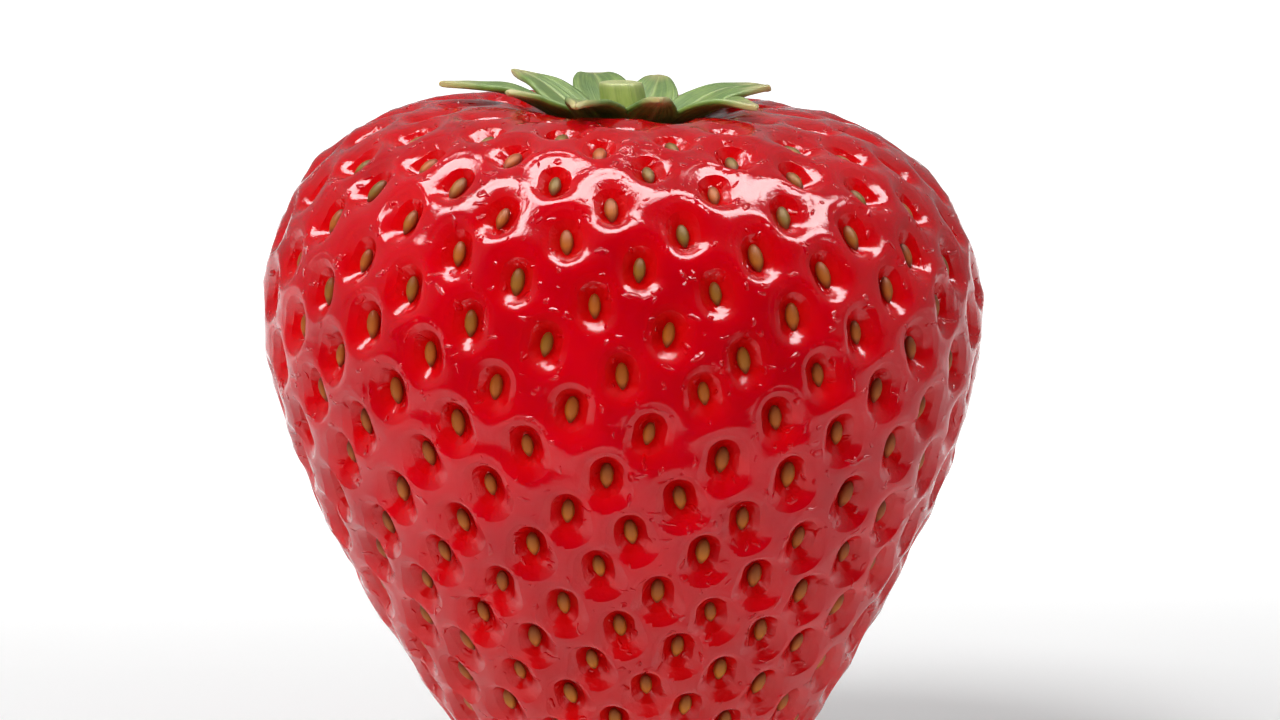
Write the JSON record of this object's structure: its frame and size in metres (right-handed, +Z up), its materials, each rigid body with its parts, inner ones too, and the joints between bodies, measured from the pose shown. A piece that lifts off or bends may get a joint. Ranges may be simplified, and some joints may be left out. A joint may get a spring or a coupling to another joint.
{
  "type": "strawberry",
  "caption": "Whole ripe red strawberry standing on its tip, with pitted glossy skin, golden seeds and a small trimmed green calyx in the crown.",
  "frame": {"origin": "middle of the flat resting spot at the tip, on the surface that the fruit stands on", "axes": "+Z up from the tip to the crown; +X to the right and -Y towards the viewer of the front"},
  "size_m": [0.0353, 0.0346, 0.0401],
  "materials": {
    "flesh": "wet-looking glossy skin of a ripe strawberry, deep red, with golden-olive seeds in its pits",
    "calyx_green": "matt, slightly hairy green of a strawberry calyx, with dried straw-coloured points"
  },
  "bodies": {
    "root": {"berry": "flesh", "calyx": "calyx_green"}
  },
  "joints": []
}
